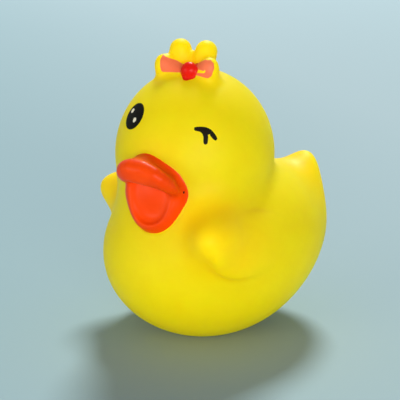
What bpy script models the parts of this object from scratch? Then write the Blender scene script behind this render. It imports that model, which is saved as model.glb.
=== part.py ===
"""A winking rubber duck in soft hollow vinyl, moulded in one piece.

The duck looks along -Y with its head turned to its left, stands on z = 0, and is
built from rounded lobes that run smoothly into each other. Lengths are in metres.
"""

import math

import bmesh
import bpy
import numpy as np

MM = 0.001

# Body: a chest lobe in front, a rump lobe behind, cut flat where the duck stands.
CHEST_WIDTH = 36.4 * MM
CHEST_DEPTH = 36.4 * MM
CHEST_HEIGHT = 30.45 * MM
CHEST_FORWARD = 1.85 * MM
BASE_CUT = 1.4 * MM
RUMP_WIDTH = 32.5 * MM
RUMP_DEPTH = 38.45 * MM
RUMP_HEIGHT = 28.4 * MM
RUMP_BACK = 3.1 * MM
RUMP_RAISE = 3.6 * MM
BODY_BLEND = 5.35 * MM
BASE_BLEND = 0.42 * MM

# Head, turned about the vertical line through its middle.
HEAD_WIDTH = 28.4 * MM
HEAD_DEPTH = 28.6 * MM
HEAD_HEIGHT = 30.65 * MM
HEAD_FORWARD = 3.4 * MM
HEAD_RAISE = 18.9 * MM
HEAD_TURN = 34.0
THROAT_BLEND = 6.0 * MM
NAPE_BLEND = 1.9 * MM

# Tail: a flat lobe that stands up behind the rump.
TAIL_WIDTH = 11.4 * MM
TAIL_THICKNESS = 6.9 * MM
TAIL_LENGTH = 20.6 * MM
TAIL_BACK = 17.6 * MM
TAIL_HEIGHT = 20.4 * MM
TAIL_LEAN = 18.6
TAIL_BLEND = 5.35 * MM

# Wings: a full shoulder, and two leaves that lie on it with a free lower edge.
SHOULDER_LENGTH = 10.9 * MM
SHOULDER_WIDTH = 6.6 * MM
SHOULDER_HEIGHT = 6.8 * MM
SHOULDER_AT = (17.3 * MM, -8.6 * MM, 21.9 * MM)
SHOULDER_SPLAY = 38.0
SHOULDER_PITCH = 14.0
SHOULDER_BLEND = 7.6 * MM
LEAF_THICKNESS = 3.3 * MM
SMALL_LEAF_LENGTH = 10.0 * MM
SMALL_LEAF_HEIGHT = 5.8 * MM
SMALL_LEAF_AT = (17.7 * MM, -7.2 * MM, 20.2 * MM)
LARGE_LEAF_LENGTH = 16.2 * MM
LARGE_LEAF_HEIGHT = 9.6 * MM
LARGE_LEAF_AT = (17.1 * MM, -2.3 * MM, 19.9 * MM)
LARGE_LEAF_SPLAY = 14.0
LARGE_LEAF_RISE = 12.0
LEAF_ROLL = 16.0
LEAF_BLEND = 1.35 * MM

# Bill, open: a domed upper half with an arched, rolled lip, and a dished lower half with a chin.
BILL_TILT = 10.3
BILL_SIDE = -0.4 * MM
DOME_SIDE = 1.4 * MM
DOME_WIDTH = 5.75 * MM
DOME_LENGTH = 9.25 * MM
DOME_HEIGHT = 6.8 * MM
LIP_WIDTH = 10.8 * MM
LIP_REACH = 5.4 * MM
LIP_ROOT = 0.95 * MM
LIP_DROOP = 4.5 * MM
LIP_RAISE = 1.35 * MM
LIP_ARCH = 0.6
LIP_THICKNESS = 1.95 * MM
LIP_SQUARENESS = 0.56
LIP_BLEND = 2.6 * MM
PLATE_WIDTH = 8.3 * MM
PLATE_THICKNESS = 3.5 * MM
PALATE_DEPTH = 1.25 * MM
JAW_WIDTH = 11.6 * MM
JAW_HEIGHT = 10.6 * MM
CHIN_WIDTH = 6.2 * MM
CHIN_DROP = 8.1 * MM
CHIN_BLEND = 3.0 * MM
JAW_THICKNESS = 5.15 * MM
JAW_DROP = 4.3 * MM
JAW_RIM = 1.25 * MM
JAW_TILT = 7.0
MOUTH_DEPTH = 2.05 * MM
TONGUE_WIDTH = 6.2 * MM
TONGUE_LENGTH = 8.6 * MM
TONGUE_THICKNESS = 3.0 * MM
TONGUE_BLEND = 2.2 * MM
BILL_BLEND = 0.62 * MM

# Bow and the two tufts behind it, on top of the head.
BOW_SPAN = 11.6 * MM
BOW_FORWARD = 3.1 * MM
BOW_KNOT = 3.1 * MM
KNOT_SIDE = 1.05 * MM
BOW_LOOP = 3.0 * MM
BOW_WAIST = 2.15 * MM
BOW_BLEND = 1.45 * MM
TUFT_HEIGHT = 5.05 * MM
TUFT_WIDTH = 3.9 * MM
TUFT_SPREAD = 5.05 * MM
TUFT_FORWARD = 0.52 * MM

# Wall of the hollow vinyl, and the air hole through the base.
WALL = 1.85 * MM
AIR_HOLE = 4.1 * MM

# Eyes: an open one on the duck's right, a wink on its left.
EYE_SIDE = 6.6 * MM
EYE_RAISE = 8.0 * MM
EYE_WIDTH = 4.4 * MM
EYE_HEIGHT = 4.4 * MM

# Mesh sizes: grid cells, the longest move onto the skin in one step, and how near z = 0 is level.
SKIN_CELL = 0.62 * MM
HOLLOW_CELL = 2.1 * MM
SKIN_TRIANGLES = 8200
SETTLE_STEP = 0.3 * MM
LEVEL = 0.04 * MM

# How far paint reaches past the shape that it covers.
PAINT_EDGE = 0.15 * MM

# Places that follow from the sizes above.
CHEST_Z = CHEST_HEIGHT / 2 - BASE_CUT
RUMP_Z = CHEST_Z + RUMP_RAISE
HEAD_Z = CHEST_Z + HEAD_RAISE
HEAD_TOP = HEAD_HEIGHT / 2
FACE = HEAD_DEPTH / 2


def turn_x(degrees):
    c, s = math.cos(math.radians(degrees)), math.sin(math.radians(degrees))
    return np.array([[1, 0, 0], [0, c, -s], [0, s, c]])


def turn_y(degrees):
    c, s = math.cos(math.radians(degrees)), math.sin(math.radians(degrees))
    return np.array([[c, 0, s], [0, 1, 0], [-s, 0, c]])


def turn_z(degrees):
    c, s = math.cos(math.radians(degrees)), math.sin(math.radians(degrees))
    return np.array([[c, -s, 0], [s, c, 0], [0, 0, 1]])


def lobe(points, centre, size, turn=None):
    """Distance to an ellipsoid of this width, depth and height, negative inside."""
    local = points - np.asarray(centre)
    if turn is not None:
        local = local @ turn
    half = np.asarray(size) / 2
    near = np.linalg.norm(local / half, axis=-1)
    slope = np.linalg.norm(local / (half * half), axis=-1)
    return near * (near - 1) / np.maximum(slope, 1e-6)


def roll_of(points, path, radii):
    """Distance to a round bar that follows a path and changes its radius along it."""
    best = np.full(len(points), np.inf)
    for start, end, first, last in zip(path[:-1], path[1:], radii[:-1], radii[1:]):
        start, run = np.asarray(start), np.asarray(end) - np.asarray(start)
        share = np.clip(((points - start) @ run) / (run @ run), 0, 1)
        gap = np.linalg.norm(points - start - share[:, None] * run, axis=-1)
        best = np.minimum(best, gap - (first + (last - first) * share))
    return best


def blend(first, second, width):
    """Union of two distances with a fillet of this width."""
    share = np.maximum(width - np.abs(first - second), 0) / width
    return np.minimum(first, second) - share * share * width / 4


def carve(first, second, width):
    """The first shape with the second taken out of it, its edge rounded."""
    return -blend(-first, second, width)


def mirrored(points):
    both = points.copy()
    both[:, 0] = np.abs(both[:, 0])
    return both


def to_face(points):
    """Left, forward and up from the middle of the turned head."""
    return (points - np.array([0, -HEAD_FORWARD, HEAD_Z])) @ turn_z(HEAD_TURN) @ np.diag([1, -1, 1])


def torso(points):
    chest = lobe(points, (0, -CHEST_FORWARD, CHEST_Z), (CHEST_WIDTH, CHEST_DEPTH, CHEST_HEIGHT))
    rump = lobe(points, (0, RUMP_BACK, RUMP_Z), (RUMP_WIDTH, RUMP_DEPTH, RUMP_HEIGHT))
    return blend(chest, rump, BODY_BLEND)


def head(points):
    return lobe(points, (0, -HEAD_FORWARD, HEAD_Z), (HEAD_WIDTH, HEAD_DEPTH, HEAD_HEIGHT))


def body(points):
    """Torso and head, with a full throat in front and a tighter crease at the nape."""
    front = np.clip(0.5 - points[:, 1] / HEAD_FORWARD / 4, 0, 1)
    width = NAPE_BLEND + (THROAT_BLEND - NAPE_BLEND) * front * front * (3 - 2 * front)
    return blend(torso(points), head(points), width)


def tail(points):
    size = (TAIL_WIDTH, TAIL_THICKNESS, TAIL_LENGTH)
    return lobe(points, (0, TAIL_BACK, TAIL_HEIGHT), size, turn_x(-TAIL_LEAN))


def shoulders(points):
    size = (SHOULDER_WIDTH, SHOULDER_LENGTH, SHOULDER_HEIGHT)
    turn = turn_z(SHOULDER_SPLAY) @ turn_x(-SHOULDER_PITCH)
    return lobe(mirrored(points), SHOULDER_AT, size, turn)


def leaves(points):
    """The two leaves of each wing; their upper edges sink into the body."""
    sides = mirrored(points)
    small = (LEAF_THICKNESS, SMALL_LEAF_LENGTH, SMALL_LEAF_HEIGHT)
    large = (LEAF_THICKNESS, LARGE_LEAF_LENGTH, LARGE_LEAF_HEIGHT)
    front_turn = turn_z(SHOULDER_SPLAY) @ turn_y(-LEAF_ROLL)
    rear_turn = turn_z(LARGE_LEAF_SPLAY) @ turn_x(LARGE_LEAF_RISE) @ turn_y(-LEAF_ROLL)
    return lobe(sides, SMALL_LEAF_AT, small, front_turn), lobe(sides, LARGE_LEAF_AT, large, rear_turn)


def lip_path():
    """The front edge of the upper bill, from one corner round to the other."""
    path, radii = [], []
    for step in range(-6, 7):
        angle = math.radians(15 * step)
        side = math.copysign(abs(math.sin(angle)) ** LIP_SQUARENESS, step)
        reach = max(math.cos(angle), 0) ** LIP_SQUARENESS
        forward = FACE - LIP_ROOT + (LIP_REACH + LIP_ROOT - LIP_THICKNESS / 2) * reach
        rise = LIP_RAISE - LIP_DROOP * (1 - reach) ** LIP_ARCH
        path.append(((LIP_WIDTH - LIP_THICKNESS / 2) / 2 * side, forward, rise))
        radii.append(LIP_THICKNESS * (0.34 + 0.16 * reach))
    return path, radii


def upper_bill(face):
    """The dome, the plate before it and the lip, tilted so that the duck's left corner hangs lower."""
    pivot = np.array([0, FACE, LIP_RAISE - LIP_DROOP / 2])
    local = (face - pivot - np.array([BILL_SIDE, 0, 0])) @ turn_y(BILL_TILT) + pivot
    dome_at = (-DOME_SIDE, FACE - 0.04 * DOME_LENGTH, -DOME_HEIGHT / 5)
    dome = lobe(local, dome_at, (DOME_WIDTH, DOME_LENGTH, DOME_HEIGHT))
    plate_size = (PLATE_WIDTH, 1.5 * LIP_REACH, PLATE_THICKNESS)
    plate = lobe(local, (0, FACE + LIP_ROOT, -0.12 * PLATE_THICKNESS), plate_size)
    dome = blend(dome, plate, LIP_BLEND)
    palate_size = (LIP_WIDTH + LIP_ROOT, 3.6 * LIP_REACH, DOME_HEIGHT)
    palate_at = (0, FACE + LIP_REACH / 2, -PALATE_DEPTH - DOME_HEIGHT / 2)
    dome = carve(dome, lobe(local, palate_at, palate_size), BILL_BLEND)
    path, radii = lip_path()
    return blend(dome, roll_of(local, path, radii), LIP_BLEND)


def jaw_place():
    return np.array([-0.05 * JAW_WIDTH, FACE - 0.15 * JAW_THICKNESS, -JAW_DROP])


def spoon(face, place, width, thickness, height, chin):
    """A rounded plate with a narrower chin, leaned back by the jaw's tilt."""
    turn = turn_x(JAW_TILT)
    plate = lobe(face, place, (width, thickness, height), turn)
    chin_at = place + turn @ np.array([0, 0, JAW_DROP - CHIN_DROP])
    end = lobe(face, chin_at, (chin, thickness, 0.9 * chin), turn)
    return blend(plate, end, CHIN_BLEND)


def lower_bill(face):
    return spoon(face, jaw_place(), JAW_WIDTH, JAW_THICKNESS, JAW_HEIGHT, CHIN_WIDTH)


def mouth(face):
    """The dish that opens the lower bill and leaves its rim standing."""
    place = jaw_place() + np.array([0, JAW_THICKNESS / 2, JAW_RIM])
    width = JAW_WIDTH - 2 * JAW_RIM
    return spoon(face, place, width, 2 * MOUTH_DEPTH, JAW_HEIGHT, CHIN_WIDTH - 2 * JAW_RIM)


def tongue(face):
    size = (TONGUE_WIDTH, TONGUE_THICKNESS, TONGUE_LENGTH)
    return lobe(face, jaw_place() + np.array([0, 0, -JAW_RIM / 2]), size, turn_x(JAW_TILT))


def bow_loops(face):
    sides = mirrored(face)
    end = (BOW_SPAN - BOW_LOOP) / 2
    waist_at = (0.2 * end, BOW_FORWARD, HEAD_TOP - 0.1 * BOW_LOOP)
    end_at = (end, BOW_FORWARD, HEAD_TOP + 0.1 * BOW_LOOP)
    strap = roll_of(sides, [waist_at, end_at], [BOW_WAIST / 2, BOW_LOOP / 2])
    foot_at = (end, BOW_FORWARD - 0.15 * BOW_LOOP, HEAD_TOP - 0.75 * BOW_LOOP)
    top_at = (1.04 * end, BOW_FORWARD, HEAD_TOP + 0.4 * BOW_LOOP)
    upright = roll_of(sides, [foot_at, top_at], [BOW_LOOP / 2, 0.42 * BOW_LOOP])
    return blend(strap, upright, BOW_BLEND)


def bow_knot(face):
    centre = (KNOT_SIDE, BOW_FORWARD + 0.3 * BOW_KNOT, HEAD_TOP + 0.05 * BOW_KNOT)
    return lobe(face, centre, (BOW_KNOT, 0.84 * BOW_KNOT, BOW_KNOT))


def tufts(face):
    sides = mirrored(face)
    top = TUFT_HEIGHT - TUFT_WIDTH / 2
    path = [
        (0.36 * TUFT_SPREAD, TUFT_FORWARD, HEAD_TOP - 0.3 * TUFT_WIDTH),
        (0.42 * TUFT_SPREAD, TUFT_FORWARD, HEAD_TOP + 0.5 * top),
        (0.5 * TUFT_SPREAD, TUFT_FORWARD, HEAD_TOP + top),
    ]
    horns = roll_of(sides, path, [0.5 * TUFT_WIDTH, 0.51 * TUFT_WIDTH, 0.5 * TUFT_WIDTH])
    web_size = (TUFT_SPREAD, 0.9 * TUFT_WIDTH, 1.45 * TUFT_HEIGHT)
    web = lobe(face, (0, TUFT_FORWARD, HEAD_TOP - 0.12 * TUFT_HEIGHT), web_size)
    return blend(horns, web, BILL_BLEND)


def outside(points):
    """Distance to the duck's outer skin."""
    face = to_face(points)
    skin = blend(body(points), tail(points), TAIL_BLEND)
    skin = blend(skin, shoulders(points), SHOULDER_BLEND)
    for leaf in leaves(points):
        skin = blend(skin, leaf, LEAF_BLEND)
    crown = blend(bow_loops(face), tufts(face), BOW_BLEND)
    skin = blend(skin, crown, BOW_BLEND)
    skin = blend(skin, bow_knot(face), BILL_BLEND / 2)
    skin = blend(skin, lower_bill(face), BILL_BLEND)
    skin = carve(skin, mouth(face), BILL_BLEND)
    skin = blend(skin, tongue(face), TONGUE_BLEND)
    skin = blend(skin, upper_bill(face), 1.5 * BILL_BLEND)
    return carve(skin, points[:, 2], BASE_BLEND)


def hollow(points):
    """Distance to the inner skin, a wall's thickness inside the plain body."""
    return carve(body(points), points[:, 2], BASE_BLEND) + WALL


def sample(shape, low, cell, blocks, block):
    """Values of a shape on a grid, worked out finely only in the blocks that its skin may cross."""
    centres = [low[i] + cell * block * (np.arange(blocks[i]) + 0.5) for i in range(3)]
    coarse = shape(np.stack(np.meshgrid(*centres, indexing="ij"), -1).reshape(-1, 3)).reshape(blocks)
    values = coarse
    for axis in range(3):
        values = np.repeat(values, block, axis=axis)
        values = np.concatenate([values, np.take(values, [-1], axis=axis)], axis=axis)
    near = np.argwhere(np.abs(coarse) < 1.3 * cell * block)
    step = np.stack(np.meshgrid(*[np.arange(block + 1)] * 3, indexing="ij"), -1).reshape(-1, 3)
    index = (near[:, None, :] * block + step[None]).reshape(-1, 3)
    values[tuple(index.T)] = shape(low + cell * index)
    return values


def close_pinches(values):
    """Fills grid points where two parts of the skin would touch in a line or a point only."""
    faint = -1e-9
    for _ in range(20):
        pinched = 0
        for u, v in ((0, 1), (1, 2), (0, 2)):
            low_u, high_u = cut_ends(values, u)
            corners = [cut_ends(side, v) for side in (low_u, high_u)]
            (a, b), (c, d) = corners
            cross = ((a < 0) == (d < 0)) & ((b < 0) == (c < 0)) & ((a < 0) != (b < 0))
            for first, last in ((a, d), (b, c)):
                at = cross & (first >= 0)
                pinched += int(at.sum())
                pick = at & (first <= last)
                first[pick] = faint
                last[at & ~pick] = faint
        if not pinched:
            return


def cut_ends(values, axis):
    """Views of a grid without its last and without its first layer along an axis."""
    front = [slice(None)] * 3
    back = [slice(None)] * 3
    front[axis], back[axis] = slice(None, -1), slice(1, None)
    return values[tuple(front)], values[tuple(back)]


def crossings(values, cells):
    """For each cell, the mean of the points where its twelve edges cross the skin, in grid units."""
    total, count = np.zeros((len(cells), 3)), np.zeros(len(cells))
    for axis in range(3):
        others = [i for i in range(3) if i != axis]
        for corner in range(4):
            start = np.zeros(3, int)
            start[others[0]], start[others[1]] = corner & 1, corner >> 1
            end = start.copy()
            end[axis] = 1
            first = values[tuple((cells + start).T)]
            last = values[tuple((cells + end).T)]
            cut = (first < 0) != (last < 0)
            share = np.where(cut, first / np.where(cut, first - last, 1), 0)
            total += cut[:, None] * (start + share[:, None] * (end - start))
            count += cut
    return cells + total / count[:, None]


def quads(values, number):
    """One face across each grid edge that crosses the skin, facing out."""
    faces = []
    for axis in range(3):
        u, v = [(1, 2), (2, 0), (0, 1)][axis]
        first = np.take(values, np.arange(values.shape[axis] - 1), axis=axis) < 0
        last = np.take(values, np.arange(1, values.shape[axis]), axis=axis) < 0
        for inside, edges in ((True, first & ~last), (False, last & ~first)):
            at = np.argwhere(edges)
            ring = []
            for du, dv in ((1, 1), (0, 1), (0, 0), (1, 0)):
                cell = at.copy()
                cell[:, u] -= du
                cell[:, v] -= dv
                ring.append(number[tuple(cell.T)])
            ring = np.stack(ring, 1)
            faces.append(ring if inside else ring[:, ::-1])
    return np.concatenate(faces)


def settle(shape, points, rounds):
    """Moves points onto a shape's skin along its slope."""
    tick = 0.02 * MM
    for _ in range(rounds):
        value = shape(points)
        sides = [shape(points + d) - shape(points - d) for d in np.eye(3) * tick]
        slope = np.stack(sides, -1) / (2 * tick)
        step = slope * (value / np.maximum((slope * slope).sum(-1), 0.04))[:, None]
        reach = np.linalg.norm(step, axis=-1, keepdims=True)
        points = points - step * np.minimum(1, SETTLE_STEP / np.maximum(reach, 1e-9))
    return points


def skin_of(name, shape, low, high, cell, block):
    """A closed mesh of quads over the skin of a shape."""
    low, high = np.asarray(low), np.asarray(high)
    blocks = np.ceil((high - low) / (cell * block)).astype(int)
    values = sample(shape, low, cell, blocks, block)
    close_pinches(values)
    filled = np.zeros(np.array(values.shape) - 1, int)
    for x in (0, 1):
        for y in (0, 1):
            for z in (0, 1):
                nx, ny, nz = filled.shape
                filled += values[x : x + nx, y : y + ny, z : z + nz] < 0
    mixed = (filled > 0) & (filled < 8)
    cells = np.argwhere(mixed)
    number = np.full(filled.shape, -1)
    number[mixed] = np.arange(len(cells))
    points = settle(shape, low + cell * crossings(values, cells), 4)
    mesh = bpy.data.meshes.new(name)
    mesh.from_pydata(points.tolist(), [], quads(values, number).tolist())
    mesh.validate()
    return mesh


def shown(name, mesh):
    obj = bpy.data.objects.new(name, mesh)
    bpy.context.scene.collection.objects.link(obj)
    return obj


def helper(obj):
    obj.hide_render = True
    obj.display_type = "WIRE"
    return obj


def thinned(obj, triangles):
    """The object's mesh with fewer, larger triangles where it is smooth."""
    modifier = obj.modifiers.new("fewer", "DECIMATE")
    modifier.ratio = triangles / (2 * len(obj.data.polygons))
    modifier.use_collapse_triangulate = True
    graph = bpy.context.evaluated_depsgraph_get()
    mesh = bpy.data.meshes.new_from_object(obj.evaluated_get(graph))
    obj.modifiers.clear()
    obj.data = mesh


def flatten_base(mesh):
    """Puts each point of the standing face exactly on z = 0."""
    for vertex in mesh.vertices:
        if abs(vertex.co.z) < LEVEL:
            vertex.co.z = 0


def duck_skin():
    half = max(CHEST_WIDTH, RUMP_WIDTH) / 2 + SHOULDER_WIDTH
    front = -CHEST_FORWARD - CHEST_DEPTH / 2 - LIP_REACH
    back = max(TAIL_BACK + TAIL_LENGTH / 2, RUMP_BACK + RUMP_DEPTH / 2) + 2 * SKIN_CELL
    top = HEAD_Z + HEAD_TOP + TUFT_HEIGHT + 3 * SKIN_CELL
    low = (-half, front, -3.3 * SKIN_CELL)
    obj = shown("duck", skin_of("duck", outside, low, (half, back, top), SKIN_CELL, 4))
    thinned(obj, SKIN_TRIANGLES)
    points = np.array([vertex.co for vertex in obj.data.vertices])
    obj.data.vertices.foreach_set("co", settle(outside, points, 2).ravel())
    flatten_base(obj.data)
    return obj


def hollow_cutter():
    half = max(CHEST_WIDTH, RUMP_WIDTH) / 2
    back = RUMP_BACK + RUMP_DEPTH / 2
    low = (-half, -CHEST_FORWARD - CHEST_DEPTH / 2, 0)
    high = (half, back, HEAD_Z + HEAD_TOP)
    mesh = skin_of("hollow", hollow, low, high, HOLLOW_CELL, 2)
    for vertex in mesh.vertices:
        if vertex.co.z < WALL + LEVEL:
            vertex.co.z = WALL
    return helper(shown("hollow", mesh))


def hole_cutter():
    mesh = bpy.data.meshes.new("air_hole")
    bm = bmesh.new()
    bmesh.ops.create_cone(
        bm, cap_ends=True, segments=32, radius1=AIR_HOLE / 2, radius2=AIR_HOLE / 2, depth=4 * WALL
    )
    bm.to_mesh(mesh)
    bm.free()
    obj = helper(shown("air_hole", mesh))
    obj.location = (0, -CHEST_FORWARD, 0)
    return obj


def cut(obj, cutter):
    modifier = obj.modifiers.new(cutter.name, "BOOLEAN")
    modifier.operation = "DIFFERENCE"
    modifier.object = cutter


def material(name, colour, roughness):
    made = bpy.data.materials.new(name)
    made.use_nodes = True
    shader = made.node_tree.nodes["Principled BSDF"]
    shader.inputs["Base Color"].default_value = (*colour, 1)
    shader.inputs["Roughness"].default_value = roughness
    shader.inputs["Metallic"].default_value = 0
    return made


def paint(obj):
    """Gives the bill, the bow and the open eye their colours, face by face."""
    obj.data.materials.append(material("yellow_vinyl", (0.87, 0.70, 0.02), 0.42))
    obj.data.materials.append(material("bill_red", (0.90, 0.06, 0.01), 0.32))
    obj.data.materials.append(material("bow_coral", (0.90, 0.20, 0.13), 0.45))
    obj.data.materials.append(material("knot_red", (0.80, 0.02, 0.01), 0.35))
    obj.data.materials.append(material("eye_black", (0.01, 0.01, 0.01), 0.35))
    middles = to_face(np.array([face.center for face in obj.data.polygons]))
    lips = blend(upper_bill(middles), lower_bill(middles), 3 * BILL_BLEND)
    bill = np.minimum(lips, tongue(middles)) < PAINT_EDGE
    front = middles[:, 1] > BOW_FORWARD + 0.2 * BOW_LOOP
    loops = (bow_loops(middles) < PAINT_EDGE) & front & (np.abs(middles[:, 0]) < 0.41 * BOW_SPAN)
    knot = bow_knot(middles) < PAINT_EDGE
    across = (middles[:, 0] + EYE_SIDE) / (EYE_WIDTH / 2)
    upright = (middles[:, 2] - EYE_RAISE) / (EYE_HEIGHT / 2)
    eye = (np.hypot(across, upright) < 1) & (middles[:, 1] > 0)
    index = np.zeros(len(middles), int)
    for slot, where in enumerate((bill, loops, knot, eye), 1):
        index[where] = slot
    obj.data.polygons.foreach_set("material_index", index)


def centre(objects):
    """Moves everything so that the duck's box stands with its middle on the origin."""
    points = np.array([vertex.co for vertex in objects[0].data.vertices])
    middle = (points.min(axis=0) + points.max(axis=0)) / 2
    for obj in objects:
        obj.location.x -= middle[0]
        obj.location.y -= middle[1]


def main():
    for obj in list(bpy.data.objects):
        bpy.data.objects.remove(obj)
    duck = duck_skin()
    paint(duck)
    duck.data.shade_smooth()
    cutters = [hollow_cutter(), hole_cutter()]
    for cutter in cutters:
        cut(duck, cutter)
    centre([duck, *cutters])


main()
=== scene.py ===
"""A winking rubber duck in soft painted vinyl, on a pale blue-grey table.

The skin repeats the rounded lobes of the CAD part on a finer grid, and its paint has
crisp edges. Lengths are in metres, in the frame of the CAD part.
"""

import math

import bmesh
import bpy
import numpy as np
from mathutils import Matrix, Vector


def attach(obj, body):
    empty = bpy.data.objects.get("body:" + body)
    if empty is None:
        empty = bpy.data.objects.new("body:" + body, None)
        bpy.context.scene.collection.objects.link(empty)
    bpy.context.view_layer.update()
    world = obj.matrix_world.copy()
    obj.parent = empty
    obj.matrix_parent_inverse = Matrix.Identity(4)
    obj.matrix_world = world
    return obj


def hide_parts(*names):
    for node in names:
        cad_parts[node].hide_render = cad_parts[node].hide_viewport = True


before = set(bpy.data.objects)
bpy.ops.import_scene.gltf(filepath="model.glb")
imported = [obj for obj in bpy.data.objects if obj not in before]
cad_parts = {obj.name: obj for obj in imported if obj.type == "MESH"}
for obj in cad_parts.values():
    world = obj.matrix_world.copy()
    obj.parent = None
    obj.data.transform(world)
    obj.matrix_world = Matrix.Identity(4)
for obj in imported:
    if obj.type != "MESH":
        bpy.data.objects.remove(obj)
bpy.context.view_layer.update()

MM = 0.001

# The duck's own sizes, as in the CAD part.
# Body: a chest lobe in front, a rump lobe behind, cut flat where the duck stands.
CHEST_WIDTH = 36.4 * MM
CHEST_DEPTH = 36.4 * MM
CHEST_HEIGHT = 30.45 * MM
CHEST_FORWARD = 1.85 * MM
BASE_CUT = 1.4 * MM
RUMP_WIDTH = 32.5 * MM
RUMP_DEPTH = 38.45 * MM
RUMP_HEIGHT = 28.4 * MM
RUMP_BACK = 3.1 * MM
RUMP_RAISE = 3.6 * MM
BODY_BLEND = 5.35 * MM
BASE_BLEND = 0.42 * MM

# Head, turned about the vertical line through its middle.
HEAD_WIDTH = 28.4 * MM
HEAD_DEPTH = 28.6 * MM
HEAD_HEIGHT = 30.65 * MM
HEAD_FORWARD = 3.4 * MM
HEAD_RAISE = 18.9 * MM
HEAD_TURN = 34.0
THROAT_BLEND = 6.0 * MM
NAPE_BLEND = 1.9 * MM

# Tail: a flat lobe that stands up behind the rump.
TAIL_WIDTH = 11.4 * MM
TAIL_THICKNESS = 6.9 * MM
TAIL_LENGTH = 20.6 * MM
TAIL_BACK = 17.6 * MM
TAIL_HEIGHT = 20.4 * MM
TAIL_LEAN = 18.6
TAIL_BLEND = 5.35 * MM

# Wings: a full shoulder, and two leaves that lie on it with a free lower edge.
SHOULDER_LENGTH = 10.9 * MM
SHOULDER_WIDTH = 6.6 * MM
SHOULDER_HEIGHT = 6.8 * MM
SHOULDER_AT = (17.3 * MM, -8.6 * MM, 21.9 * MM)
SHOULDER_SPLAY = 38.0
SHOULDER_PITCH = 14.0
SHOULDER_BLEND = 7.6 * MM
LEAF_THICKNESS = 3.3 * MM
SMALL_LEAF_LENGTH = 10.0 * MM
SMALL_LEAF_HEIGHT = 5.8 * MM
SMALL_LEAF_AT = (17.7 * MM, -7.2 * MM, 20.2 * MM)
LARGE_LEAF_LENGTH = 16.2 * MM
LARGE_LEAF_HEIGHT = 9.6 * MM
LARGE_LEAF_AT = (17.1 * MM, -2.3 * MM, 19.9 * MM)
LARGE_LEAF_SPLAY = 14.0
LARGE_LEAF_RISE = 12.0
LEAF_ROLL = 16.0
LEAF_BLEND = 1.35 * MM

# Bill, open: a domed upper half with an arched lip, and a dished lower half with a chin.
BILL_TILT = 10.3
BILL_SIDE = -0.4 * MM
DOME_SIDE = 1.4 * MM
DOME_WIDTH = 5.75 * MM
DOME_LENGTH = 9.25 * MM
DOME_HEIGHT = 6.8 * MM
LIP_WIDTH = 10.8 * MM
LIP_REACH = 5.4 * MM
LIP_ROOT = 0.95 * MM
LIP_DROOP = 4.5 * MM
LIP_RAISE = 1.35 * MM
LIP_ARCH = 0.6
LIP_THICKNESS = 1.95 * MM
LIP_SQUARENESS = 0.56
LIP_BLEND = 2.6 * MM
PLATE_WIDTH = 8.3 * MM
PLATE_THICKNESS = 3.5 * MM
PALATE_DEPTH = 1.25 * MM
JAW_WIDTH = 11.6 * MM
JAW_HEIGHT = 10.6 * MM
CHIN_WIDTH = 6.2 * MM
CHIN_DROP = 8.1 * MM
CHIN_BLEND = 3.0 * MM
JAW_THICKNESS = 5.15 * MM
JAW_DROP = 4.3 * MM
JAW_RIM = 1.25 * MM
JAW_TILT = 7.0
MOUTH_DEPTH = 2.05 * MM
TONGUE_WIDTH = 6.2 * MM
TONGUE_LENGTH = 8.6 * MM
TONGUE_THICKNESS = 3.0 * MM
TONGUE_BLEND = 2.2 * MM
BILL_BLEND = 0.62 * MM

# Bow and the two tufts behind it, on top of the head.
BOW_SPAN = 11.6 * MM
BOW_FORWARD = 3.1 * MM
BOW_KNOT = 3.1 * MM
KNOT_SIDE = 1.05 * MM
BOW_LOOP = 3.0 * MM
BOW_WAIST = 2.15 * MM
BOW_BLEND = 1.45 * MM
TUFT_HEIGHT = 5.05 * MM
TUFT_WIDTH = 3.9 * MM
TUFT_SPREAD = 5.05 * MM
TUFT_FORWARD = 0.52 * MM

# Wall of the hollow vinyl, and the air hole through the base.
WALL = 1.85 * MM
AIR_HOLE = 4.1 * MM

# Mesh sizes: grid cells, how many of them a block of the coarse grid spans, and how many blocks
# from the skin a block may be and still be worked out finely.
NEAR_BLOCKS = 1.3
SKIN_CELL = 0.36 * MM
SKIN_BLOCK = 4
HOLLOW_CELL = 2.1 * MM
HOLLOW_BLOCK = 2
# Cells by which the grid starts below the base. It isn't whole, so no layer lies in the base.
GRID_DROP = 3.3
PINCH_ROUNDS = 20
# Settling: rounds, rounds after the paint's cuts, longest move in a round, step for the slopes,
# and the least squared slope that a move is worked out with.
SETTLE_ROUNDS = 4
RESETTLE_ROUNDS = 2
SETTLE_STEP = 0.3 * MM
SLOPE_TICK = 0.02 * MM
LEAST_SLOPE = 0.04
# Points this near z = 0 are put on it.
LEVEL = 0.04 * MM
# Share of a mesh edge, from either end, in which the paint's edge doesn't cut it.
CUT_MARGIN = 0.03
HOLE_SIDES = 32

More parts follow.
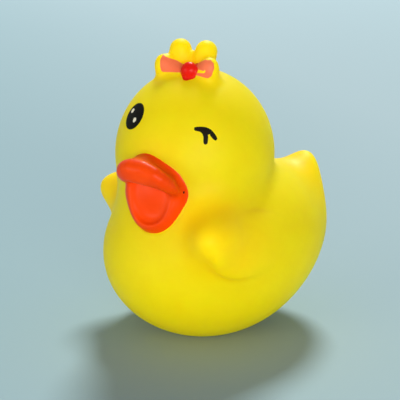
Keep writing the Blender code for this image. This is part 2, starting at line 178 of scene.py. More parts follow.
# Paint. Places are to the duck's left, forward and up from the middle of the head, in
# millimetres. The bow's outlines have no forward, and are named as they are seen from the front.
PAINT_EDGE = 0.15 * MM
EYE_AT = (-6.45, 10.3, 8.0)
EYE_RADIUS = 2.5
GLINTS = ((-7.31, 9.29, 8.64), (-6.02, 10.95, 7.46))
GLINT_RADIUS = 0.46
WINK = (
    (5.94, 11.11, 7.13),
    (6.63, 10.73, 7.07),
    (7.28, 10.38, 6.93),
    (7.92, 10.03, 6.71),
    (8.49, 9.88, 6.12),
    (8.92, 9.79, 5.54),
)
WINK_RADII = (0.34, 0.45, 0.52, 0.44, 0.41, 0.38)
WINK_BLEND = 0.5
PRONG = ((7.33, 10.5, 6.6), (7.63, 10.7, 5.85), (7.72, 11.02, 4.97))
PRONG_RADII = (0.46, 0.42, 0.38)
LEFT_FAN = (
    (-4.15, 17.5),
    (-4.2, 17.0),
    (-4.05, 15.7),
    (-3.85, 15.2),
    (-2.5, 15.25),
    (0.5, 15.35),
    (0.5, 16.2),
    (-1.58, 16.5),
    (-3.07, 17.0),
)
RIGHT_LOOP = (
    (1.5, 16.2),
    (2.2, 16.5),
    (4.1, 17.4),
    (5.0, 17.35),
    (5.45, 16.95),
    (5.6, 16.2),
    (5.3, 15.1),
    (4.9, 14.75),
    (2.9, 15.1),
    (1.5, 15.4),
)
BARE_PATCH = ((2.7, 15.8), (4.35, 15.7), (4.35, 15.55), (2.7, 15.4))
PAINT_ROUND = 0.22
# The coral reaches down to this height, and this far behind the bow's middle.
FAN_FOOT = 14.45
FAN_WRAP = 0.25
# The knot's red spot is ragged on the duck's left: rags in a full turn, their offset in radians,
# and how far they reach as a share of its radius.
KNOT_AT = (1.15, 15.6)
KNOT_PAINT = 1.58
KNOT_OVERSPRAY = 0.1
RAG_COUNT = 7
RAG_OFFSET = 0.6
RAG_REACH = 0.14
# The small dark mark at the corner of the bill: painted shade in the fold where the upper and lower
# bill meet.
CORNER_SHADE = ((5.17, 13.85, -3.1), (5.15, 14.2, -3.7))
CORNER_SHADE_RADII = (0.09, 0.07)

# Places that follow from the sizes above.
CHEST_Z = CHEST_HEIGHT / 2 - BASE_CUT
RUMP_Z = CHEST_Z + RUMP_RAISE
HEAD_Z = CHEST_Z + HEAD_RAISE
HEAD_TOP = HEAD_HEIGHT / 2
FACE = HEAD_DEPTH / 2


def turn_x(degrees):
    c, s = math.cos(math.radians(degrees)), math.sin(math.radians(degrees))
    return np.array([[1, 0, 0], [0, c, -s], [0, s, c]])


def turn_y(degrees):
    c, s = math.cos(math.radians(degrees)), math.sin(math.radians(degrees))
    return np.array([[c, 0, s], [0, 1, 0], [-s, 0, c]])


def turn_z(degrees):
    c, s = math.cos(math.radians(degrees)), math.sin(math.radians(degrees))
    return np.array([[c, -s, 0], [s, c, 0], [0, 0, 1]])


def lobe(points, centre, size, turn=None):
    """Distance to an ellipsoid of this width, depth and height, negative inside."""
    local = points - np.asarray(centre)
    if turn is not None:
        local = local @ turn
    half = np.asarray(size) / 2
    near = np.linalg.norm(local / half, axis=-1)
    slope = np.linalg.norm(local / (half * half), axis=-1)
    return near * (near - 1) / np.maximum(slope, 1e-6)


def roll_of(points, path, radii):
    """Distance to a round bar that follows a path and changes its radius along it."""
    best = np.full(len(points), np.inf)
    for start, end, first, last in zip(path[:-1], path[1:], radii[:-1], radii[1:]):
        start, run = np.asarray(start), np.asarray(end) - np.asarray(start)
        share = np.clip(((points - start) @ run) / (run @ run), 0, 1)
        gap = np.linalg.norm(points - start - share[:, None] * run, axis=-1)
        best = np.minimum(best, gap - (first + (last - first) * share))
    return best


def blend(first, second, width):
    """Union of two distances with a fillet of this width."""
    share = np.maximum(width - np.abs(first - second), 0) / width
    return np.minimum(first, second) - share * share * width / 4


def carve(first, second, width):
    """The first shape with the second taken out of it, its edge rounded."""
    return -blend(-first, second, width)


def mirrored(points):
    """Points folded onto the duck's left side."""
    both = points.copy()
    both[:, 0] = np.abs(both[:, 0])
    return both


def to_face(points):
    """Left, forward and up from the middle of the turned head."""
    return (points - np.array([0, -HEAD_FORWARD, HEAD_Z])) @ turn_z(HEAD_TURN) @ np.diag([1, -1, 1])


def torso(points):
    chest = lobe(points, (0, -CHEST_FORWARD, CHEST_Z), (CHEST_WIDTH, CHEST_DEPTH, CHEST_HEIGHT))
    rump = lobe(points, (0, RUMP_BACK, RUMP_Z), (RUMP_WIDTH, RUMP_DEPTH, RUMP_HEIGHT))
    return blend(chest, rump, BODY_BLEND)


def head(points):
    return lobe(points, (0, -HEAD_FORWARD, HEAD_Z), (HEAD_WIDTH, HEAD_DEPTH, HEAD_HEIGHT))


def body(points):
    """Torso and head, with a full throat in front and a tighter crease at the nape."""
    front = np.clip(0.5 - points[:, 1] / HEAD_FORWARD / 4, 0, 1)
    width = NAPE_BLEND + (THROAT_BLEND - NAPE_BLEND) * front * front * (3 - 2 * front)
    return blend(torso(points), head(points), width)


def tail(points):
    size = (TAIL_WIDTH, TAIL_THICKNESS, TAIL_LENGTH)
    return lobe(points, (0, TAIL_BACK, TAIL_HEIGHT), size, turn_x(-TAIL_LEAN))


def shoulders(points):
    size = (SHOULDER_WIDTH, SHOULDER_LENGTH, SHOULDER_HEIGHT)
    turn = turn_z(SHOULDER_SPLAY) @ turn_x(-SHOULDER_PITCH)
    return lobe(mirrored(points), SHOULDER_AT, size, turn)


def leaves(points):
    """The two leaves of each wing; their upper edges sink into the body."""
    sides = mirrored(points)
    small = (LEAF_THICKNESS, SMALL_LEAF_LENGTH, SMALL_LEAF_HEIGHT)
    large = (LEAF_THICKNESS, LARGE_LEAF_LENGTH, LARGE_LEAF_HEIGHT)
    front_turn = turn_z(SHOULDER_SPLAY) @ turn_y(-LEAF_ROLL)
    rear_turn = turn_z(LARGE_LEAF_SPLAY) @ turn_x(LARGE_LEAF_RISE) @ turn_y(-LEAF_ROLL)
    front = lobe(sides, SMALL_LEAF_AT, small, front_turn)
    rear = lobe(sides, LARGE_LEAF_AT, large, rear_turn)
    return front, rear


def lip_path():
    """The front edge of the upper bill, from one corner round to the other."""
    path, radii = [], []
    for step in range(-6, 7):
        angle = math.radians(15 * step)
        side = math.copysign(abs(math.sin(angle)) ** LIP_SQUARENESS, step)
        reach = max(math.cos(angle), 0) ** LIP_SQUARENESS
        forward = FACE - LIP_ROOT + (LIP_REACH + LIP_ROOT - LIP_THICKNESS / 2) * reach
        rise = LIP_RAISE - LIP_DROOP * (1 - reach) ** LIP_ARCH
        path.append(((LIP_WIDTH - LIP_THICKNESS / 2) / 2 * side, forward, rise))
        radii.append(LIP_THICKNESS * (0.34 + 0.16 * reach))
    return path, radii


def upper_bill(face):
    """The dome, the plate before it and the lip, tilted so that the left corner hangs lower."""
    pivot = np.array([0, FACE, LIP_RAISE - LIP_DROOP / 2])
    local = (face - pivot - np.array([BILL_SIDE, 0, 0])) @ turn_y(BILL_TILT) + pivot
    dome_at = (-DOME_SIDE, FACE - 0.04 * DOME_LENGTH, -DOME_HEIGHT / 5)
    dome = lobe(local, dome_at, (DOME_WIDTH, DOME_LENGTH, DOME_HEIGHT))
    plate_size = (PLATE_WIDTH, 1.5 * LIP_REACH, PLATE_THICKNESS)
    plate = lobe(local, (0, FACE + LIP_ROOT, -0.12 * PLATE_THICKNESS), plate_size)
    dome = blend(dome, plate, LIP_BLEND)
    palate_size = (LIP_WIDTH + LIP_ROOT, 3.6 * LIP_REACH, DOME_HEIGHT)
    palate_at = (0, FACE + LIP_REACH / 2, -PALATE_DEPTH - DOME_HEIGHT / 2)
    dome = carve(dome, lobe(local, palate_at, palate_size), BILL_BLEND)
    path, radii = lip_path()
    return blend(dome, roll_of(local, path, radii), LIP_BLEND)


def jaw_place():
    return np.array([-0.05 * JAW_WIDTH, FACE - 0.15 * JAW_THICKNESS, -JAW_DROP])


def spoon(face, place, width, thickness, height, chin):
    """A rounded plate with a narrower chin, leaned back by the jaw's tilt."""
    turn = turn_x(JAW_TILT)
    plate = lobe(face, place, (width, thickness, height), turn)
    chin_at = place + turn @ np.array([0, 0, JAW_DROP - CHIN_DROP])
    end = lobe(face, chin_at, (chin, thickness, 0.9 * chin), turn)
    return blend(plate, end, CHIN_BLEND)


def lower_bill(face):
    return spoon(face, jaw_place(), JAW_WIDTH, JAW_THICKNESS, JAW_HEIGHT, CHIN_WIDTH)


def mouth(face):
    """The dish that opens the lower bill and leaves its rim standing."""
    place = jaw_place() + np.array([0, JAW_THICKNESS / 2, JAW_RIM])
    width = JAW_WIDTH - 2 * JAW_RIM
    return spoon(face, place, width, 2 * MOUTH_DEPTH, JAW_HEIGHT, CHIN_WIDTH - 2 * JAW_RIM)


def tongue(face):
    size = (TONGUE_WIDTH, TONGUE_THICKNESS, TONGUE_LENGTH)
    return lobe(face, jaw_place() + np.array([0, 0, -JAW_RIM / 2]), size, turn_x(JAW_TILT))


def bow_loops(face):
    sides = mirrored(face)
    end = (BOW_SPAN - BOW_LOOP) / 2
    waist_at = (0.2 * end, BOW_FORWARD, HEAD_TOP - 0.1 * BOW_LOOP)
    end_at = (end, BOW_FORWARD, HEAD_TOP + 0.1 * BOW_LOOP)
    strap = roll_of(sides, [waist_at, end_at], [BOW_WAIST / 2, BOW_LOOP / 2])
    foot_at = (end, BOW_FORWARD - 0.15 * BOW_LOOP, HEAD_TOP - 0.75 * BOW_LOOP)
    top_at = (1.04 * end, BOW_FORWARD, HEAD_TOP + 0.4 * BOW_LOOP)
    upright = roll_of(sides, [foot_at, top_at], [BOW_LOOP / 2, 0.42 * BOW_LOOP])
    return blend(strap, upright, BOW_BLEND)


def bow_knot(face):
    centre = (KNOT_SIDE, BOW_FORWARD + 0.3 * BOW_KNOT, HEAD_TOP + 0.05 * BOW_KNOT)
    return lobe(face, centre, (BOW_KNOT, 0.84 * BOW_KNOT, BOW_KNOT))


def tufts(face):
    sides = mirrored(face)
    top = TUFT_HEIGHT - TUFT_WIDTH / 2
    path = [
        (0.36 * TUFT_SPREAD, TUFT_FORWARD, HEAD_TOP - 0.3 * TUFT_WIDTH),
        (0.42 * TUFT_SPREAD, TUFT_FORWARD, HEAD_TOP + 0.5 * top),
        (0.5 * TUFT_SPREAD, TUFT_FORWARD, HEAD_TOP + top),
    ]
    horns = roll_of(sides, path, [0.5 * TUFT_WIDTH, 0.51 * TUFT_WIDTH, 0.5 * TUFT_WIDTH])
    web_size = (TUFT_SPREAD, 0.9 * TUFT_WIDTH, 1.45 * TUFT_HEIGHT)
    web = lobe(face, (0, TUFT_FORWARD, HEAD_TOP - 0.12 * TUFT_HEIGHT), web_size)
    return blend(horns, web, BILL_BLEND)


def outside(points):
    """Distance to the duck's outer skin."""
    face = to_face(points)
    skin = blend(body(points), tail(points), TAIL_BLEND)
    skin = blend(skin, shoulders(points), SHOULDER_BLEND)
    for leaf in leaves(points):
        skin = blend(skin, leaf, LEAF_BLEND)
    crown = blend(bow_loops(face), tufts(face), BOW_BLEND)
    skin = blend(skin, crown, BOW_BLEND)
    skin = blend(skin, bow_knot(face), BILL_BLEND / 2)
    skin = blend(skin, lower_bill(face), BILL_BLEND)
    skin = carve(skin, mouth(face), BILL_BLEND)
    skin = blend(skin, tongue(face), TONGUE_BLEND)
    skin = blend(skin, upper_bill(face), 1.5 * BILL_BLEND)
    return carve(skin, points[:, 2], BASE_BLEND)


def hollow(points):
    """Distance to the inner skin, a wall's thickness inside the plain body."""
    return carve(body(points), points[:, 2], BASE_BLEND) + WALL


def sample(shape, low, cell, blocks, block):
    """Values of a shape on a grid, fine only in the blocks that its skin may cross."""
    centres = [low[i] + cell * block * (np.arange(blocks[i]) + 0.5) for i in range(3)]
    coarse = shape(np.stack(np.meshgrid(*centres, indexing="ij"), -1).reshape(-1, 3)).reshape(blocks)
    values = coarse
    for axis in range(3):
        values = np.repeat(values, block, axis=axis)
        values = np.concatenate([values, np.take(values, [-1], axis=axis)], axis=axis)
    near = np.argwhere(np.abs(coarse) < NEAR_BLOCKS * cell * block)
    step = np.stack(np.meshgrid(*[np.arange(block + 1)] * 3, indexing="ij"), -1).reshape(-1, 3)
    index = (near[:, None, :] * block + step[None]).reshape(-1, 3)
    values[tuple(index.T)] = shape(low + cell * index)
    return values


def close_pinches(values):
    """Fills grid points where two parts of the skin would touch in a line or a point only."""
    faint = -1e-9
    for _ in range(PINCH_ROUNDS):
        pinched = 0
        for u, v in ((0, 1), (1, 2), (0, 2)):
            low_u, high_u = cut_ends(values, u)
            corners = [cut_ends(side, v) for side in (low_u, high_u)]
            (a, b), (c, d) = corners
            cross = ((a < 0) == (d < 0)) & ((b < 0) == (c < 0)) & ((a < 0) != (b < 0))
            for first, last in ((a, d), (b, c)):
                at = cross & (first >= 0)
                pinched += int(at.sum())
                pick = at & (first <= last)
                first[pick] = faint
                last[at & ~pick] = faint
        if not pinched:
            return


def cut_ends(values, axis):
    """Views of a grid without its last and without its first layer along an axis."""
    front = [slice(None)] * 3
    back = [slice(None)] * 3
    front[axis], back[axis] = slice(None, -1), slice(1, None)
    return values[tuple(front)], values[tuple(back)]


def crossings(values, cells):
    """For each cell, the mean of the points where its edges cross the skin, in grid units."""
    total, count = np.zeros((len(cells), 3)), np.zeros(len(cells))
    for axis in range(3):
        others = [i for i in range(3) if i != axis]
        for corner in range(4):
            start = np.zeros(3, int)
            start[others[0]], start[others[1]] = corner & 1, corner >> 1
            end = start.copy()
            end[axis] = 1
            first = values[tuple((cells + start).T)]
            last = values[tuple((cells + end).T)]
            cut = (first < 0) != (last < 0)
            share = np.where(cut, first / np.where(cut, first - last, 1), 0)
            total += cut[:, None] * (start + share[:, None] * (end - start))
            count += cut
    return cells + total / count[:, None]


def quads(values, number):
    """One face across each grid edge that crosses the skin, facing out."""
    faces = []
    for axis in range(3):
        u, v = [(1, 2), (2, 0), (0, 1)][axis]
        first = np.take(values, np.arange(values.shape[axis] - 1), axis=axis) < 0
        last = np.take(values, np.arange(1, values.shape[axis]), axis=axis) < 0
        for inside, edges in ((True, first & ~last), (False, last & ~first)):
            at = np.argwhere(edges)
            ring = []
            for du, dv in ((1, 1), (0, 1), (0, 0), (1, 0)):
                cell = at.copy()
                cell[:, u] -= du
                cell[:, v] -= dv
                ring.append(number[tuple(cell.T)])
            ring = np.stack(ring, 1)
            faces.append(ring if inside else ring[:, ::-1])
    return np.concatenate(faces)


def slopes(shape, points):
    """How fast a shape's distance grows along x, y and z."""
    sides = [shape(points + step) - shape(points - step) for step in np.eye(3) * SLOPE_TICK]
    return np.stack(sides, -1) / (2 * SLOPE_TICK)


def settle(shape, points, rounds):
    """Moves points onto a shape's skin along its slope."""
    for _ in range(rounds):
        value = shape(points)
        slope = slopes(shape, points)
        step = slope * (value / np.maximum((slope * slope).sum(-1), LEAST_SLOPE))[:, None]
        reach = np.linalg.norm(step, axis=-1, keepdims=True)
        points = points - step * np.minimum(1, SETTLE_STEP / np.maximum(reach, 1e-9))
    return points


def skin_of(name, shape, low, high, cell, block):
    """A closed mesh of quads over the skin of a shape."""
    low, high = np.asarray(low), np.asarray(high)
    blocks = np.ceil((high - low) / (cell * block)).astype(int)
    values = sample(shape, low, cell, blocks, block)
    close_pinches(values)
    filled = np.zeros(np.array(values.shape) - 1, int)
    for x in (0, 1):
        for y in (0, 1):
            for z in (0, 1):
                nx, ny, nz = filled.shape
                filled += values[x : x + nx, y : y + ny, z : z + nz] < 0
    mixed = (filled > 0) & (filled < 8)
    cells = np.argwhere(mixed)
    number = np.full(filled.shape, -1)
    number[mixed] = np.arange(len(cells))
    points = settle(shape, low + cell * crossings(values, cells), SETTLE_ROUNDS)
    mesh = bpy.data.meshes.new(name)
    mesh.from_pydata(points.tolist(), [], quads(values, number).tolist())
    mesh.validate()
    return mesh


def polygon_distance(at, corners):
    """Distance in a plane to a closed outline, negative inside."""
    corners = np.asarray(corners)
    best = np.full(len(at), np.inf)
    inside = np.zeros(len(at), bool)
    for start, end in zip(corners, np.roll(corners, -1, axis=0)):
        run, rel = end - start, at - start
        share = np.clip((rel @ run) / (run @ run), 0, 1)
        best = np.minimum(best, np.linalg.norm(rel - share[:, None] * run, axis=-1))
        crosses = (start[1] > at[:, 1]) != (end[1] > at[:, 1])
        rise = np.where(crosses, end[1] - start[1], 1)
        meet = start[0] + (at[:, 1] - start[1]) * run[0] / rise
        inside ^= crosses & (at[:, 0] < meet)
    return np.where(inside, -best, best)


def bill_paint(face):
    lips = blend(upper_bill(face), lower_bill(face), 3 * BILL_BLEND)
    return np.minimum(lips, tongue(face)) - PAINT_EDGE


def bow_paint(face):
    """The coral fans, on the front of the loops only, less the bare patch."""
    at = face[:, [0, 2]] / MM
    left, right = polygon_distance(at, LEFT_FAN), polygon_distance(at, RIGHT_LOOP)
    fans = np.minimum(left, right) - PAINT_ROUND
    bare = polygon_distance(at, BARE_PATCH) - PAINT_ROUND / 2
    behind = (BOW_FORWARD - face[:, 1]) / MM - FAN_WRAP
    below = FAN_FOOT - at[:, 1]
    return np.maximum.reduce([fans, -bare, behind, below]) * MM


def knot_paint(face):
    """The red of the knot, with a ragged edge where it was sprayed over RIGHT_LOOP."""
    at = face[:, [0, 2]] / MM - KNOT_AT
    turn = np.arctan2(at[:, 1], at[:, 0])
    ragged = np.clip(np.cos(turn), 0, 1) * (0.5 + 0.5 * np.sin(RAG_COUNT * turn + RAG_OFFSET))
    spot = np.hypot(at[:, 0], at[:, 1]) - KNOT_PAINT * (1 + RAG_REACH * ragged)
    ball = bow_knot(face) / MM - KNOT_OVERSPRAY
    behind = (BOW_FORWARD - face[:, 1]) / MM
    return np.maximum(np.minimum(spot, ball), behind) * MM


def eye_paint(face):
    return np.linalg.norm(face / MM - EYE_AT, axis=-1) * MM - EYE_RADIUS * MM


def wink_paint(face):
    at = face / MM
    lid = roll_of(at, WINK, WINK_RADII)
    return blend(lid, roll_of(at, PRONG, PRONG_RADII), WINK_BLEND) * MM


def glint_paint(face):
    spots = [np.linalg.norm(face / MM - spot, axis=-1) for spot in GLINTS]
    return (np.minimum.reduce(spots) - GLINT_RADIUS) * MM


# Painted shade: a dark fleck in the fold at the corner of the bill.
def corner_shade_paint(face):
    return roll_of(face / MM, CORNER_SHADE, CORNER_SHADE_RADII) * MM


# Materials: light and deep colour, roughness, specular level, weight of light under the skin.
LOOKS = {
    "yellow_vinyl": ((0.985, 0.668, 0.003), (0.96, 0.643, 0.002), 0.5, 0.1, 1.0),
    "bill_paint": ((0.83, 0.062, 0.002), (0.79, 0.05, 0.001), 0.34, 0.1, 0.0),
    "coral_paint": ((0.84, 0.18, 0.075), (0.80, 0.14, 0.052), 0.45, 0.2, 0.0),
    "knot_paint": ((0.74, 0.012, 0.005), (0.66, 0.008, 0.003), 0.3, 0.12, 0.0),
    # The black serves the printed eye and wink, and the painted shade at the bill's corner.
    "black_print_and_shade": ((0.010, 0.007, 0.005), (0.005, 0.004, 0.003), 0.5, 0.05, 0.0),
    "cream_print": ((0.85, 0.82, 0.66), (0.78, 0.74, 0.56), 0.45, 0.2, 0.0),
}

# Each paint covers the ones before it, and all of them the yellow vinyl.
PAINTS = (
    ("bill_paint", bill_paint),
    ("coral_paint", bow_paint),
    ("knot_paint", knot_paint),
    ("black_print_and_shade", eye_paint),
    ("black_print_and_shade", wink_paint),
    # This black mark is painted shade in the fold at the bill's corner.
    ("black_print_and_shade", corner_shade_paint),
    ("cream_print", glint_paint),
)


def cut_along(bm, paint):
    """Splits faces along the edge of a paint, so that the edge is crisp."""
    bm.verts.index_update()
    value = paint(to_face(np.array([vert.co for vert in bm.verts])))
    made = []
    for edge in list(bm.edges):
        first, last = edge.verts
        a, b = value[first.index], value[last.index]
        if (a < 0) == (b < 0):
            continue
        share = min(max(a / (a - b), CUT_MARGIN), 1 - CUT_MARGIN)
        _, vert = bmesh.utils.edge_split(edge, first, share)
        made.append(vert)
    bmesh.ops.connect_verts(bm, verts=made)


def skin_mesh():
    """The outer skin, cut along the paint and settled again, with a level base."""
    half = max(CHEST_WIDTH, RUMP_WIDTH) / 2 + SHOULDER_WIDTH
    front = -CHEST_FORWARD - CHEST_DEPTH / 2 - LIP_REACH
    back = max(TAIL_BACK + TAIL_LENGTH / 2, RUMP_BACK + RUMP_DEPTH / 2) + 2 * SKIN_CELL
    top = HEAD_Z + HEAD_TOP + TUFT_HEIGHT + 3 * SKIN_CELL
    low, high = (-half, front, -GRID_DROP * SKIN_CELL), (half, back, top)
    mesh = skin_of("duck_skin", outside, low, high, SKIN_CELL, SKIN_BLOCK)
    bm = bmesh.new()
    bm.from_mesh(mesh)
    for _, paint in PAINTS:
        cut_along(bm, paint)
    bm.to_mesh(mesh)
    bm.free()
    points = np.array([vertex.co for vertex in mesh.vertices])
    points = settle(outside, points, RESETTLE_ROUNDS)
    points[np.abs(points[:, 2]) < LEVEL, 2] = 0
    mesh.vertices.foreach_set("co", points.ravel())
    return mesh


def assign_paint(mesh):
    """Gives each face the material of the last paint that covers its middle."""
    middles = to_face(np.array([face.center for face in mesh.polygons]))
    index = np.zeros(len(middles), int)
    for name, paint in PAINTS:
        index[paint(middles) < 0] = list(LOOKS).index(name)
    mesh.polygons.foreach_set("material_index", index)


def shown(name, mesh):
    obj = bpy.data.objects.new(name, mesh)
    bpy.context.scene.collection.objects.link(obj)
    return obj


def hollow_cutter():
    """The inner cavity, with a level floor a wall's thickness above the base."""
    half = max(CHEST_WIDTH, RUMP_WIDTH) / 2
    low = (-half, -CHEST_FORWARD - CHEST_DEPTH / 2, 0)
    high = (half, RUMP_BACK + RUMP_DEPTH / 2, HEAD_Z + HEAD_TOP)
    mesh = skin_of("hollow", hollow, low, high, HOLLOW_CELL, HOLLOW_BLOCK)
    for vertex in mesh.vertices:
        if vertex.co.z < WALL + LEVEL:
            vertex.co.z = WALL
    return shown("hollow", mesh)


def hole_cutter():
    mesh = bpy.data.meshes.new("air_hole")
    bm = bmesh.new()
    radius = AIR_HOLE / 2
    bmesh.ops.create_cone(
        bm, cap_ends=True, segments=HOLE_SIDES, radius1=radius, radius2=radius, depth=4 * WALL
    )
    bm.to_mesh(mesh)
    bm.free()
    obj = shown("air_hole", mesh)
    obj.location = (0, -CHEST_FORWARD, 0)
    return obj


def open_up(obj):
    """Cuts the cavity and the air hole, as in the CAD part, and removes the cutters."""
    cutters = [hollow_cutter(), hole_cutter()]
    for cutter in cutters:
        modifier = obj.modifiers.new(cutter.name, "BOOLEAN")
        modifier.operation = "DIFFERENCE"
        modifier.object = cutter
    graph = bpy.context.evaluated_depsgraph_get()
    mesh = bpy.data.meshes.new_from_object(obj.evaluated_get(graph))
    obj.modifiers.clear()
    obj.data = mesh
    for cutter in cutters:
        bpy.data.objects.remove(cutter)


def smooth_outside(mesh):
    """Gives the outer skin its true normals and leaves the cavity and the hole their own."""
    mesh.shade_smooth()
    middles = np.array([face.center for face in mesh.polygons])
    outer = np.abs(outside(middles)) < 2 * LEVEL
    normals = slopes(outside, np.array([vertex.co for vertex in mesh.vertices]))
    normals /= np.linalg.norm(normals, axis=-1, keepdims=True)
    given = np.zeros((len(mesh.loops), 3))
    for face in mesh.polygons:
        if outer[face.index]:
            given[list(face.loop_indices)] = normals[list(face.vertices)]
    mesh.normals_split_custom_set(given.tolist())


def node(tree, kind, **values):
    """A new shader node with these settings, or these values on its inputs."""
    made = tree.nodes.new(kind)
    for name, value in values.items():
        if hasattr(made, name):
            setattr(made, name, value)
        else:
            made.inputs[name.replace("_", " ")].default_value = value
    return made


# Vinyl and paint, in object space. The cloud mottles the colour, the specks the roughness, and
# each band is the stretch of the noise between the two ends. The grain is a fine bump. Light
# spreads this far, and in this colour, under the bare vinyl.
CLOUD_SCALE = 225.0
CLOUD_BAND = (0.35, 0.65)
SPECK_SCALE = 900.0
SPECK_BAND = (0.3, 0.7)
GRAIN_SCALE = 5200.0
GRAIN_BUMP = 0.03
GRAIN_HEIGHT = 0.1 * MM
ROUGH_SPAN = 0.05
GLOW_DEPTH = 5.0 * MM
GLOW_COLOUR = (1.0, 0.7, 0.1)


def paint_material(name, light, deep, rough, shine, glow):
    """Moulded or painted vinyl: mottled colour, uneven gloss and a fine grain."""
    made = bpy.data.materials.new(name)
    made.use_nodes = True
    tree = made.node_tree
    shader = tree.nodes["Principled BSDF"]
    place = node(tree, "ShaderNodeTexCoord")
    cloud = node(tree, "ShaderNodeTexNoise", Scale=CLOUD_SCALE, Detail=3.0, Roughness=0.55)
    specks = node(tree, "ShaderNodeTexNoise", Scale=SPECK_SCALE, Detail=2.0, Roughness=0.6)
    fine = node(tree, "ShaderNodeTexNoise", Scale=GRAIN_SCALE, Detail=2.0, Roughness=0.5)
    for texture in (cloud, specks, fine):
        tree.links.new(place.outputs["Object"], texture.inputs["Vector"])
    colours = node(tree, "ShaderNodeValToRGB")
    for stop, position, colour in zip(colours.color_ramp.elements, CLOUD_BAND, (deep, light)):
        stop.position = position
        stop.color = (*colour, 1)
    tree.links.new(cloud.outputs["Fac"], colours.inputs["Fac"])
    tree.links.new(colours.outputs["Color"], shader.inputs["Base Color"])
    gloss = node(tree, "ShaderNodeMapRange")
    gloss.inputs["From Min"].default_value = SPECK_BAND[0]
    gloss.inputs["From Max"].default_value = SPECK_BAND[1]
    gloss.inputs["To Min"].default_value = rough - ROUGH_SPAN
    gloss.inputs["To Max"].default_value = rough + ROUGH_SPAN
    tree.links.new(specks.outputs["Fac"], gloss.inputs["Value"])
    tree.links.new(gloss.outputs["Result"], shader.inputs["Roughness"])
    relief = node(tree, "ShaderNodeBump", Strength=GRAIN_BUMP, Distance=GRAIN_HEIGHT)
    tree.links.new(fine.outputs["Fac"], relief.inputs["Height"])
    tree.links.new(relief.outputs["Normal"], shader.inputs["Normal"])
    shader.inputs["Metallic"].default_value = 0
    shader.inputs["Specular IOR Level"].default_value = shine
    shader.inputs["Subsurface Weight"].default_value = glow
    shader.inputs["Subsurface Radius"].default_value = GLOW_COLOUR
    shader.inputs["Subsurface Scale"].default_value = GLOW_DEPTH
    return made


def duck_piece():
    """Puts the dressed duck on its node, and returns the middle that it had before."""
    mesh = skin_mesh()
    obj = shown("duck_skin", mesh)
    for name, look in LOOKS.items():
        mesh.materials.append(paint_material(name, *look))
    assign_paint(mesh)
    open_up(obj)
    smooth_outside(obj.data)
    points = np.array([vertex.co for vertex in obj.data.vertices])
    middle = (points.min(axis=0) + points.max(axis=0)) / 2
    obj.data.transform(Matrix.Translation((-middle[0], -middle[1], 0)))
    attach(obj, "root")
    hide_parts("duck")
    return middle


# Camera: where it stands and what it looks at, in the design frame, and its field.
VIEW_AZIMUTH = 61.2
VIEW_ELEVATION = 16.08
VIEW_DISTANCE = 213.84 * MM
VIEW_LENS = 104.78
VIEW_AIM = (-2.07 * MM, 2.26 * MM, 20.995 * MM)
VIEW_CLIP = (0.005, 20)


def add_camera(middle):
    """VIEW_AIM is right, up and along the vertical axis, from the body's axis on the base."""
    a, e = math.radians(VIEW_AZIMUTH), math.radians(VIEW_ELEVATION)
    right = Vector((math.cos(a), math.sin(a), 0))
    back = Vector((math.sin(a) * math.cos(e), -math.cos(a) * math.cos(e), math.sin(e)))
    up = back.cross(right)
    aim = right * VIEW_AIM[0] + up * VIEW_AIM[1] + Vector((0, 0, VIEW_AIM[2]))
    aim -= Vector((middle[0], middle[1], 0))
    data = bpy.data.cameras.new("camera")
    data.lens = VIEW_LENS
    data.clip_start, data.clip_end = VIEW_CLIP
    obj = bpy.data.objects.new("camera", data)
    turned = Matrix((right, up, back)).transposed().to_4x4()
    obj.matrix_world = Matrix.Translation(aim + back * VIEW_DISTANCE) @ turned
    bpy.context.scene.collection.objects.link(obj)
    bpy.context.scene.camera = obj


# The table. Its colour runs from near left to far right: which way, and from where to where. The
# lighter far colour is painted light, a brighter stretch of table to the far right.
FLOOR_RADIUS = 3.0
FLOOR_SIDES = 96
FLOOR_NEAR_DIM = (0.288, 0.43, 0.468)
FLOOR_FAR_LIT = (0.365, 0.485, 0.522)
FLOOR_HEADING = -80.0
FLOOR_RUN = (-0.06, 0.12)
FLOOR_ROUGHNESS = 0.7
FLOOR_SHINE = 0.06


def floor_material():
    made = bpy.data.materials.new("table_paint_and_light")
    made.use_nodes = True
    tree = made.node_tree
    shader = tree.nodes["Principled BSDF"]
    place = node(tree, "ShaderNodeTexCoord")
    along = node(tree, "ShaderNodeMapping")
    along.inputs["Rotation"].default_value = (0, 0, math.radians(FLOOR_HEADING))
    run = node(tree, "ShaderNodeSeparateXYZ")
    share = node(tree, "ShaderNodeMapRange")
    share.inputs["From Min"].default_value = FLOOR_RUN[0]
    share.inputs["From Max"].default_value = FLOOR_RUN[1]
    # Painted light: the table grows lighter from near left to far right.
    colours = node(tree, "ShaderNodeValToRGB")
    colours.color_ramp.elements[0].color = (*FLOOR_NEAR_DIM, 1)
    colours.color_ramp.elements[1].color = (*FLOOR_FAR_LIT, 1)
    tree.links.new(place.outputs["Object"], along.inputs["Vector"])
    tree.links.new(along.outputs["Vector"], run.inputs["Vector"])
    tree.links.new(run.outputs["X"], share.inputs["Value"])
    tree.links.new(share.outputs["Result"], colours.inputs["Fac"])
    tree.links.new(colours.outputs["Color"], shader.inputs["Base Color"])
    shader.inputs["Roughness"].default_value = FLOOR_ROUGHNESS
    shader.inputs["Specular IOR Level"].default_value = FLOOR_SHINE
    return made


def add_floor():
    mesh = bpy.data.meshes.new("table")
    bm = bmesh.new()
    bmesh.ops.create_circle(bm, cap_ends=True, segments=FLOOR_SIDES, radius=FLOOR_RADIUS)
    bm.to_mesh(mesh)
    bm.free()
    mesh.materials.append(floor_material())
    obj = shown("table", mesh)


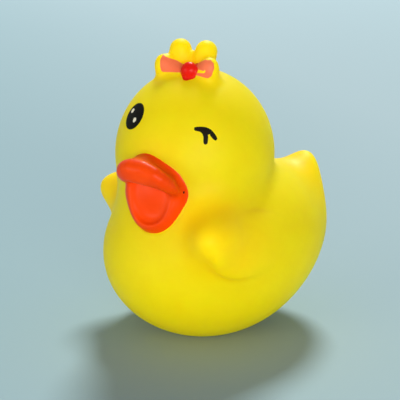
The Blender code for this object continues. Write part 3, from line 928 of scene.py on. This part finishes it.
# The lamps look at the middle of the duck's body. Each has a name, a place, a width and height,
# watts and a colour. The sky lights the shadows evenly.
LAMP_AIM = (0, 0, 0.02)
LAMPS = (
    ("key", (-1.36, 1.02, 1.98), (0.70, 0.70), 67.0, (1.0, 1.0, 1.0)),
    ("fill", (1.40, -0.50, 0.24), (1.20, 0.40), 19.0, (1.0, 0.93, 0.84)),
    ("side", (0.00, -1.40, 0.18), (0.80, 0.32), 5.0, (1.0, 0.86, 0.74)),
)
SKY_STRENGTH = 0.27
SKY_COLOUR = (1.0, 1.0, 1.0)


def add_light(name, place, size, power, colour):
    """A soft elliptic lamp."""
    data = bpy.data.lights.new(name, "AREA")
    data.shape = "ELLIPSE"
    data.size, data.size_y = size
    data.energy = power
    data.color = colour
    obj = bpy.data.objects.new(name, data)
    obj.location = place
    obj.rotation_euler = (Vector(LAMP_AIM) - Vector(place)).to_track_quat("-Z", "Y").to_euler()
    bpy.context.scene.collection.objects.link(obj)


def add_world():
    """An even sky for the light, and the table's far colour for the camera and reflections."""
    world = bpy.data.worlds.new("studio")
    world.use_nodes = True
    bpy.context.scene.world = world
    tree = world.node_tree
    tree.nodes.clear()
    rays = node(tree, "ShaderNodeLightPath")
    sky = node(tree, "ShaderNodeBackground", Color=(*SKY_COLOUR, 1), Strength=SKY_STRENGTH)
    wall = node(tree, "ShaderNodeBackground", Color=(*FLOOR_FAR_LIT, 1), Strength=1.0)
    shiny = node(tree, "ShaderNodeMath", operation="MAXIMUM")
    seen = node(tree, "ShaderNodeMath", operation="MAXIMUM")
    mix = node(tree, "ShaderNodeMixShader")
    out = node(tree, "ShaderNodeOutputWorld")
    tree.links.new(rays.outputs["Is Glossy Ray"], shiny.inputs[0])
    tree.links.new(rays.outputs["Is Transmission Ray"], shiny.inputs[1])
    tree.links.new(rays.outputs["Is Camera Ray"], seen.inputs[0])
    tree.links.new(shiny.outputs["Value"], seen.inputs[1])
    tree.links.new(seen.outputs["Value"], mix.inputs["Fac"])
    tree.links.new(sky.outputs["Background"], mix.inputs[1])
    tree.links.new(wall.outputs["Background"], mix.inputs[2])
    tree.links.new(mix.outputs["Shader"], out.inputs["Surface"])


def corners(box):
    """A box's corners as plain lists."""
    return [[float(value) for value in corner] for corner in box]


duck_middle = duck_piece()
add_camera(duck_middle)
add_floor()
add_world()
for lamp in LAMPS:
    add_light(*lamp)
bpy.context.scene.view_settings.view_transform = "Standard"
